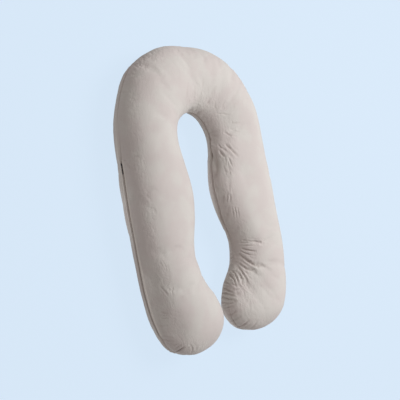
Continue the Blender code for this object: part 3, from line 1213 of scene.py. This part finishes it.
skin = points(cover)
showing = line_shows(skin)
widened = np.maximum(showing, 1) + on_zip(skin)
# Painted shade: how deep each point lies in a fold, for the finish to darken it.
keep_hint(cover, "fold", np.clip(fold_depth / DARK_DEPTH, 0, 1))
# The stitched hint is painted shade: a dark line along the seam's groove, and a broad band beside the right
# belly.
line = bell(above_seam, LINE_WIDTH * widened) * np.minimum(showing, 1)
shaded = bell(skin[:, 1] - BELLY_Y, BELLY_REACH) * bell(above_seam - SHADE_AT, SHADE_WIDTH)
shaded *= BESIDE_BELLY * inside(skin, (0, -1, -1), (0.18, 1, 1))
keep_hint(cover, "stitched", np.maximum(line, shaded))
keep_hint(cover, "flank", 1 - rise(np.abs(skin[:, 2] - SEAM_HEIGHT), *FLANK))
keep_hint(cover, "zipped", on_zip(skin, NEAR_ZIP))
# The painted highlight on the soft edge above the zip.
runs_on = on_zip(skin, EDGE_FADE) * (1 - on_zip(skin, NEAR_ZIP))
keep_hint(cover, "painted_highlight", runs_on * bell(above_seam - HIGHLIGHT_AT, HIGHLIGHT_WIDTH))
print("the deepest fold is %.1f of the darkest depth" % (fold_depth.max() / DARK_DEPTH))

# %% [markdown]
# ## Jersey
#
# The cloth is a matt knit of a warm grey. Its colour wanders a little between pink and straw. Painted shade
# darkens it in the folds, along the seam's groove and beside the right belly, and a painted highlight
# lightens the soft lips along the zip. Fine crinkles cross it here and there. The knit's own stitches are
# about a millimetre, too small to model, so they are bump: columns of small V's along the pattern pieces.

# %% The jersey's finish
CLOTH_LIGHT = colour(0.640, 0.615, 0.590)
CLOTH_PINK = colour(0.622, 0.576, 0.560)
# The colour of the painted shade in the folds, along the seam's groove and beside the right belly.
CLOTH_PAINTED_SHADE = colour(0.36, 0.30, 0.27)
# The colour of the painted highlight on the soft lips beside and above the zip.
CLOTH_PAINTED_HIGHLIGHT = colour(0.760, 0.725, 0.690)
HIGHLIGHT_FROM, HIGHLIGHT_TO = (0.0070, 0.0100), (0.0140, 0.0185)
TINT_SCALE, WAVE_SCALE, CREASE_SCALE, PATCH_SCALE = 9.0, 85.0, 34.0, 7.0
CRINKLE_HEIGHT, STITCH_HEIGHT = 0.0013, 0.0002
WALE, COURSE = 0.0012, 0.0009

jersey = Finish("jersey")
where = jersey.place()
on_pattern = jersey.place("UV")
patches = jersey.between(jersey.noise(where, TINT_SCALE, 3.0), 0.38, 0.62)
tint = jersey.mix(patches, CLOTH_PINK, CLOTH_LIGHT)
# Painted shade: darker in the folds, along the seam's groove and beside the right belly.
shade = (jersey.attribute("fold") * 0.42 + jersey.attribute("stitched") * 0.75).clamp()
tint = jersey.mix(shade, tint, CLOTH_PAINTED_SHADE)
# A painted highlight on the soft lips beside the zip and on the edge above it.
off_zip = abs(jersey.part(where, "Z") - SEAM_HEIGHT)
painted_highlight = jersey.between(off_zip, *HIGHLIGHT_FROM) * (1 - jersey.between(off_zip, *HIGHLIGHT_TO))
tint = jersey.mix(painted_highlight * jersey.attribute("zipped") + jersey.attribute("painted_highlight"), tint, CLOTH_PAINTED_HIGHLIGHT)

along = jersey.stretched(where, (1.0, 0.5, 1.0))
waves = jersey.between(jersey.noise(along, WAVE_SCALE), 0.36, 0.64)
creases = (1 - abs(jersey.noise(along, CREASE_SCALE, 2.0, 0.55) - 0.5) * 12).clamp() ** 2
patchy = jersey.between(jersey.noise(where, PATCH_SCALE, 1.0), 0.40, 0.62)
crinkled_here = (patchy * 0.5 + 0.5) * (jersey.attribute("flank") * 0.95 + 0.05)
crinkled = jersey.bump((waves * 0.6 - creases * 0.4) * crinkled_here, CRINKLE_HEIGHT)

columns = (jersey.part(on_pattern, "X") * (2 * pi * PATTERN / WALE)).sine()
rows = (jersey.part(on_pattern, "Y") * (2 * pi * PATTERN / COURSE) + abs(columns) * 2.2).sine()
stitches = abs(columns) * 0.6 + rows * 0.4
jersey.surface(
    base_color=tint,
    roughness=0.92,
    sheen_weight=0.25,
    sheen_roughness=0.45,
    specular_ior_level=0.2,
    normal=jersey.bump(stitches, STITCH_HEIGHT, 0.5, crinkled),
)
cover.data.materials.append(jersey.material)
print("jersey has", len(jersey.tree.nodes), "nodes")

# %% [markdown]
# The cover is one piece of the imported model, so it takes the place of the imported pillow.

# %% The pillow takes its place
blockers.objects.link(cover)
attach(cover, "root")
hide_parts("pillow")
print("triangles in the cover:", sum(len(p.vertices) - 2 for p in cover.data.polygons))

# %% [markdown]
# ## Making the zip straight, then bending it
#
# A zip is made straight and sewn in along a curve, and here too each piece is modelled straight along x,
# with z across the zip and minus y facing out. A Curve modifier then bends it along the zip's line, and
# `Z_UP` keeps it from rolling. Half the zip's thickness lies on either side of that line.

# %% The curve that bends it
path = bpy.data.curves.new("zip_path", "CURVE")
path.dimensions = "3D"
path.twist_mode = "Z_UP"
spline = path.splines.new("POLY")
spline.points.add(ZIP_POINTS - 1)
for point, x, y in zip(spline.points, zip_x, zip_y):
    point.co = (x, y, SEAM_HEIGHT, 1)
zip_path = bpy.data.objects.new("zip_path", path)
bpy.context.scene.collection.objects.link(zip_path)
ZIP_LENGTH = spline.calc_length()


def add_block(name, size, middle):
    """A cube stretched to this size, with its scale already part of its mesh."""
    bpy.ops.object.select_all(action="DESELECT")
    bpy.ops.mesh.primitive_cube_add(size=1, location=middle, scale=size)
    block = bpy.context.object
    block.name = name
    settle(block)
    return block


def edges_along(piece, axis):
    """True for every edge that runs along this axis."""
    ends = points(piece)[read(piece.data.edges, "vertices", 2, int)]
    way = np.abs(ends[:, 1] - ends[:, 0])
    return way[:, axis] > 0.9 * np.linalg.norm(way, axis=1)


def bevel_along(piece, axis, offset, segments=1):
    """Bevel the edges that run along this axis."""
    edit(piece, edges_along(piece, axis), bpy.ops.mesh.bevel, "EDGE", offset=offset, segments=segments)


def add_ring(radius, wire, segments, middle, tilt=0):
    """A torus round its middle, tilted about x."""
    bpy.ops.object.select_all(action="DESELECT")
    bpy.ops.mesh.primitive_torus_add(
        major_radius=radius, minor_radius=wire, major_segments=segments[0], minor_segments=segments[1],
        location=middle, rotation=(tilt, 0, 0),
    )
    settle(bpy.context.object)
    return bpy.context.object


def bend_along_zip(piece):
    apply_modifier(piece, "CURVE", object=zip_path, deform_axis="POS_X")


print("zip of %.3f m" % ZIP_LENGTH)

# %% [markdown]
# ## The tapes
#
# Two woven tapes carry the coil. Closed, they meet under it and show as one narrow band on each side. A
# block of the band's size gets its long edges subdivided, so that it can bend, and a small bevel.

# %% The tape
TAPE_WIDTH = 0.005
TAPE_THICKNESS = 0.0008
TAPE_CUTS = 200
TAPE_EDGE = 0.00025

tape = add_block(
    "closed_zip",
    (ZIP_LENGTH, TAPE_THICKNESS, TAPE_WIDTH),
    (ZIP_LENGTH / 2, (ZIP_THICKNESS - TAPE_THICKNESS) / 2, 0),
)
bevel_along(tape, 0, TAPE_EDGE)
edit(tape, edges_along(tape, 0), bpy.ops.mesh.subdivide, "EDGE", number_cuts=TAPE_CUTS)
print("tape:", len(tape.data.polygons), "faces")

# %% [markdown]
# ## The coil
#
# What holds a closed zip together is two rows of coil turns that grip each other. Seen from outside they
# are short slanting bars, each row set half a turn on from the other. One pair of bars is modelled, and an
# Array modifier repeats it down the zip.

# %% The coil's turns
TURN_PITCH = 0.0016
TURN_SIZE = (0.0010, 0.0011, 0.0021)
TURN_SLANT = radians(14)
TURN_EDGE = 0.0003
ROW_OFFSET = 0.47 * TURN_SIZE[2]
SMOOTH_BELOW = radians(35)

turn_y = (ZIP_THICKNESS - TURN_SIZE[1]) / 2 - TAPE_THICKNESS
turn = add_block("coil", TURN_SIZE, (0, 0, 0))
choose(turn, np.ones(len(turn.data.edges), bool), "EDGE")
bpy.ops.mesh.bevel(offset=TURN_EDGE, segments=1)
bpy.ops.mesh.select_all(action="SELECT")
bpy.ops.transform.rotate(value=TURN_SLANT, orient_axis="Y", center_override=(0, 0, 0))
bpy.ops.transform.translate(value=(TURN_PITCH / 2, turn_y, ROW_OFFSET))
bpy.ops.mesh.duplicate()
bpy.ops.transform.translate(value=(TURN_PITCH / 2, 0, -2 * ROW_OFFSET))
finish_edit()
turns = int(ZIP_LENGTH / TURN_PITCH) - 1
apply_modifier(
    turn, "ARRAY", count=turns, use_relative_offset=False,
    use_constant_offset=True, constant_offset_displace=(TURN_PITCH, 0, 0),
)
for piece in (tape, turn):
    bend_along_zip(piece)
    pick(piece)
    bpy.ops.object.shade_smooth_by_angle(angle=SMOOTH_BELOW)
print(turns, "pairs of coil turns,", len(turn.data.polygons), "faces")

# %% [markdown]
# ## The slider
#
# The slider is a small cast piece: two plates with a gap between them for the teeth, wide where the rows
# come in and narrow where they leave it locked, with a bridge on top that holds the pull. A block is drawn
# in at its lower end, rounded, and its sides are inset and pushed in to part the plates.

# %% The slider's body and bridge
PLATES_THICKNESS = 0.0024
NARROW_END = 0.62
PLATE_CORNER = 0.0018
PLATE_EDGE = 0.0003
PLATE_GAP = 0.0007
BRIDGE_RADIUS, BRIDGE_WIRE, BRIDGE_X = 0.0030, 0.0008, -0.0012
BRIDGE_STRETCH = (1.25, 1.5, 0.5)

slider_low, slider_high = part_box("zip_slider")
slider_length, slider_width = slider_high.y - slider_low.y, slider_high.z - slider_low.z


def narrow(piece, chosen, share):
    """Draw one end of a block in."""
    edit(piece, chosen, bpy.ops.transform.resize, value=(1, share, 1), center_override=(0, 0, 0))


def round_edges(piece, width):
    """Bevel every edge that is sharper than the shallow ones of a round."""
    apply_modifier(piece, "BEVEL", width=width, segments=2, angle_limit=radians(40))


def push_faces(piece, chosen, inset, push):
    """Inset a region of faces and push it in."""
    choose(piece, chosen, "FACE")
    bpy.ops.mesh.inset(thickness=inset)
    bpy.ops.transform.shrink_fatten(value=-push)
    finish_edit()


def face_tilt(piece):
    """Which way each face looks: 1 up, -1 down and 0 level."""
    return read(piece.data.polygons, "normal")[:, 2]


slider = add_block("slider", (slider_length, slider_width, PLATES_THICKNESS), (0, 0, PLATES_THICKNESS / 2))
narrow(slider, points(slider)[:, 0] > 0, NARROW_END)
bevel_along(slider, 2, PLATE_CORNER, 4)
push_faces(slider, np.abs(face_tilt(slider)) < 0.5, PLATE_GAP, PLATE_GAP)
round_edges(slider, PLATE_EDGE)
bridge_at = (BRIDGE_X, 0, PLATES_THICKNESS)
bridge = add_ring(BRIDGE_RADIUS, BRIDGE_WIRE, (32, 10), bridge_at, radians(90))
edit(bridge, everything(bridge), bpy.ops.transform.resize, value=BRIDGE_STRETCH, center_override=bridge_at)
print("slider body %.1f x %.1f mm" % (1000 * slider_length, 1000 * slider_width))

# %% [markdown]
# ## The pull
#
# The pull is a thin stamped tab with round ends and a sunk panel, hung from the bridge by a small ring.
# Its upright edges are bevelled with several segments, which rounds its ends, and both faces are inset and
# pushed in by a fraction of a millimetre.

# %% The pull's tab and ring
PULL_CORNER = 0.001785
PULL_TAPER = 0.72
PULL_RIM, PULL_SUNK = 0.0009, 0.0003
PULL_EDGE = 0.0002
RING_RADIUS, RING_WIRE = 0.0019, 0.0005
RING_STRETCH = 0.0024

pull_low, pull_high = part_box("zip_pull")
pull_length, pull_width = pull_high.y - pull_low.y, pull_high.z - pull_low.z
PULL_THICKNESS = 0.0016

pull = add_block("pull", (pull_length, pull_width, PULL_THICKNESS), (0, 0, 0))
narrow(pull, points(pull)[:, 0] < 0, PULL_TAPER)
bevel_along(pull, 2, PULL_CORNER, 5)
for side in UP_AND_DOWN:
    push_faces(pull, face_tilt(pull) * side > 0.9, PULL_RIM, PULL_SUNK)
round_edges(pull, PULL_EDGE)
ring = add_ring(RING_RADIUS, RING_WIRE, (28, 8), (-pull_length / 2, 0, 0))
far_half = points(ring)[:, 0] < -pull_length / 2 - 1e-5
edit(ring, far_half, bpy.ops.transform.translate, value=(-RING_STRETCH, 0, 0))
print("pull %.1f x %.1f mm" % (1000 * pull_length, 1000 * pull_width))

# %% [markdown]
# Both hard pieces were modelled flat, with z facing away from the cloth. They are now joined, turned so
# that z faces out of the groove and x runs down the zip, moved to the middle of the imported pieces, and
# their place is applied to their meshes.

# %% Standing the slider and the pull on the zip
SLOPE_STEP = 0.01


def join(main, other):
    pick(main)
    other.select_set(True)
    bpy.ops.object.join()


def stand_on_zip(piece, low, high, lift):
    """Place a flat-modelled piece at a packed box, its z facing out of the groove."""
    y = (low.y + high.y) / 2
    slope = np.diff(np.interp([-y - SLOPE_STEP, -y + SLOPE_STEP], -zip_y, zip_x))[0] / (2 * SLOPE_STEP)
    down = Vector((slope, -1, 0)).normalized()
    across_zip = Vector((0, 0, 1))
    out = down.cross(across_zip)
    middle = Vector(((low.x + high.x) / 2, y, SEAM_HEIGHT))
    turned = Matrix((down, across_zip, out)).transposed().to_4x4()
    piece.matrix_world = Matrix.Translation(middle + out * lift) @ turned
    settle(piece)
    bpy.ops.object.shade_smooth_by_angle(angle=SMOOTH_BELOW)


join(slider, bridge)
join(pull, ring)
stand_on_zip(slider, slider_low, slider_high, -(slider_high.x - slider_low.x) / 2)
stand_on_zip(pull, pull_low, pull_high, 0)
for piece in (slider, pull):
    box = points(piece)
    print(piece.name, "from", box.min(0).round(4), "to", box.max(0).round(4))

# %% [markdown]
# ## The zip's finishes
#
# The tapes are woven in a brown a little darker than the cloth, and the nylon coil is the same colour with
# a dull gloss. The slider and pull are dark lacquered metal: smooth, with the lacquer a little uneven.

# %% Tape, coil and lacquer
TAPE_BROWN = colour(0.46, 0.40, 0.36)
COIL_BROWN = colour(0.42, 0.36, 0.32)
LACQUER = colour(0.030, 0.024, 0.024)
LACQUER_WORN = colour(0.085, 0.072, 0.068)
WEFT, WEAVE_HEIGHT = 0.0006, 0.0001
TAPE_FADE, COIL_FADE, COIL_GLOSS, WEAR_SCALE, CAST_SCALE = 160.0, 220.0, 300.0, 420.0, 900.0

weave = Finish("woven_tape")
where = weave.place()
warps = (weave.part(where, "Z") * (2 * pi / WEFT)).sine()
wefts = (weave.part(where, "Y") * (2 * pi / WEFT)).sine()
fade = weave.between(weave.noise(where, TAPE_FADE), 0.3, 0.7)
weave.surface(
    base_color=weave.mix(fade, TAPE_BROWN, colour(*(c * 1.2 for c in TAPE_BROWN[:3]))),
    roughness=0.85,
    normal=weave.bump(warps * wefts, WEAVE_HEIGHT, 0.5),
)
nylon = Finish("zip_coil")
where = nylon.place()
nylon.surface(
    base_color=nylon.mix(nylon.between(nylon.noise(where, COIL_FADE), 0.3, 0.7), COIL_BROWN, TAPE_BROWN),
    roughness=nylon.noise(where, COIL_GLOSS) * 0.2 + 0.40,
)
lacquer = Finish("dark_lacquer")
where = lacquer.place()
wear = lacquer.between(lacquer.noise(where, WEAR_SCALE, 4.0), 0.55, 0.80)
lacquer.surface(
    base_color=lacquer.mix(wear, LACQUER, LACQUER_WORN),
    metallic=0.4,
    roughness=wear * 0.18 + 0.38,
    normal=lacquer.bump(lacquer.noise(where, CAST_SCALE), 0.00003, 0.4),
)
for piece, finish in ((tape, weave), (turn, nylon), (slider, lacquer), (pull, lacquer)):
    piece.data.materials.clear()
    piece.data.materials.append(finish.material)
print("finishes:", [f.material.name for f in (weave, nylon, lacquer)])

# %% [markdown]
# The coil is sewn to its tapes for good, so the two become one piece. The curve has done its work and goes.

# %% The zip takes its place
ZIP_PIECES = (
    (tape, "zip_tape", "zip_tape"),
    (slider, "zip_slider", "slider"),
    (pull, "zip_pull", "slider"),
)

join(tape, turn)
bpy.data.objects.remove(zip_path)
for piece, node, slot in ZIP_PIECES:
    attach(piece, "root")
    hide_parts(node)
print("triangles in the zip:", sum(len(p.vertices) - 2 for p in tape.data.polygons))
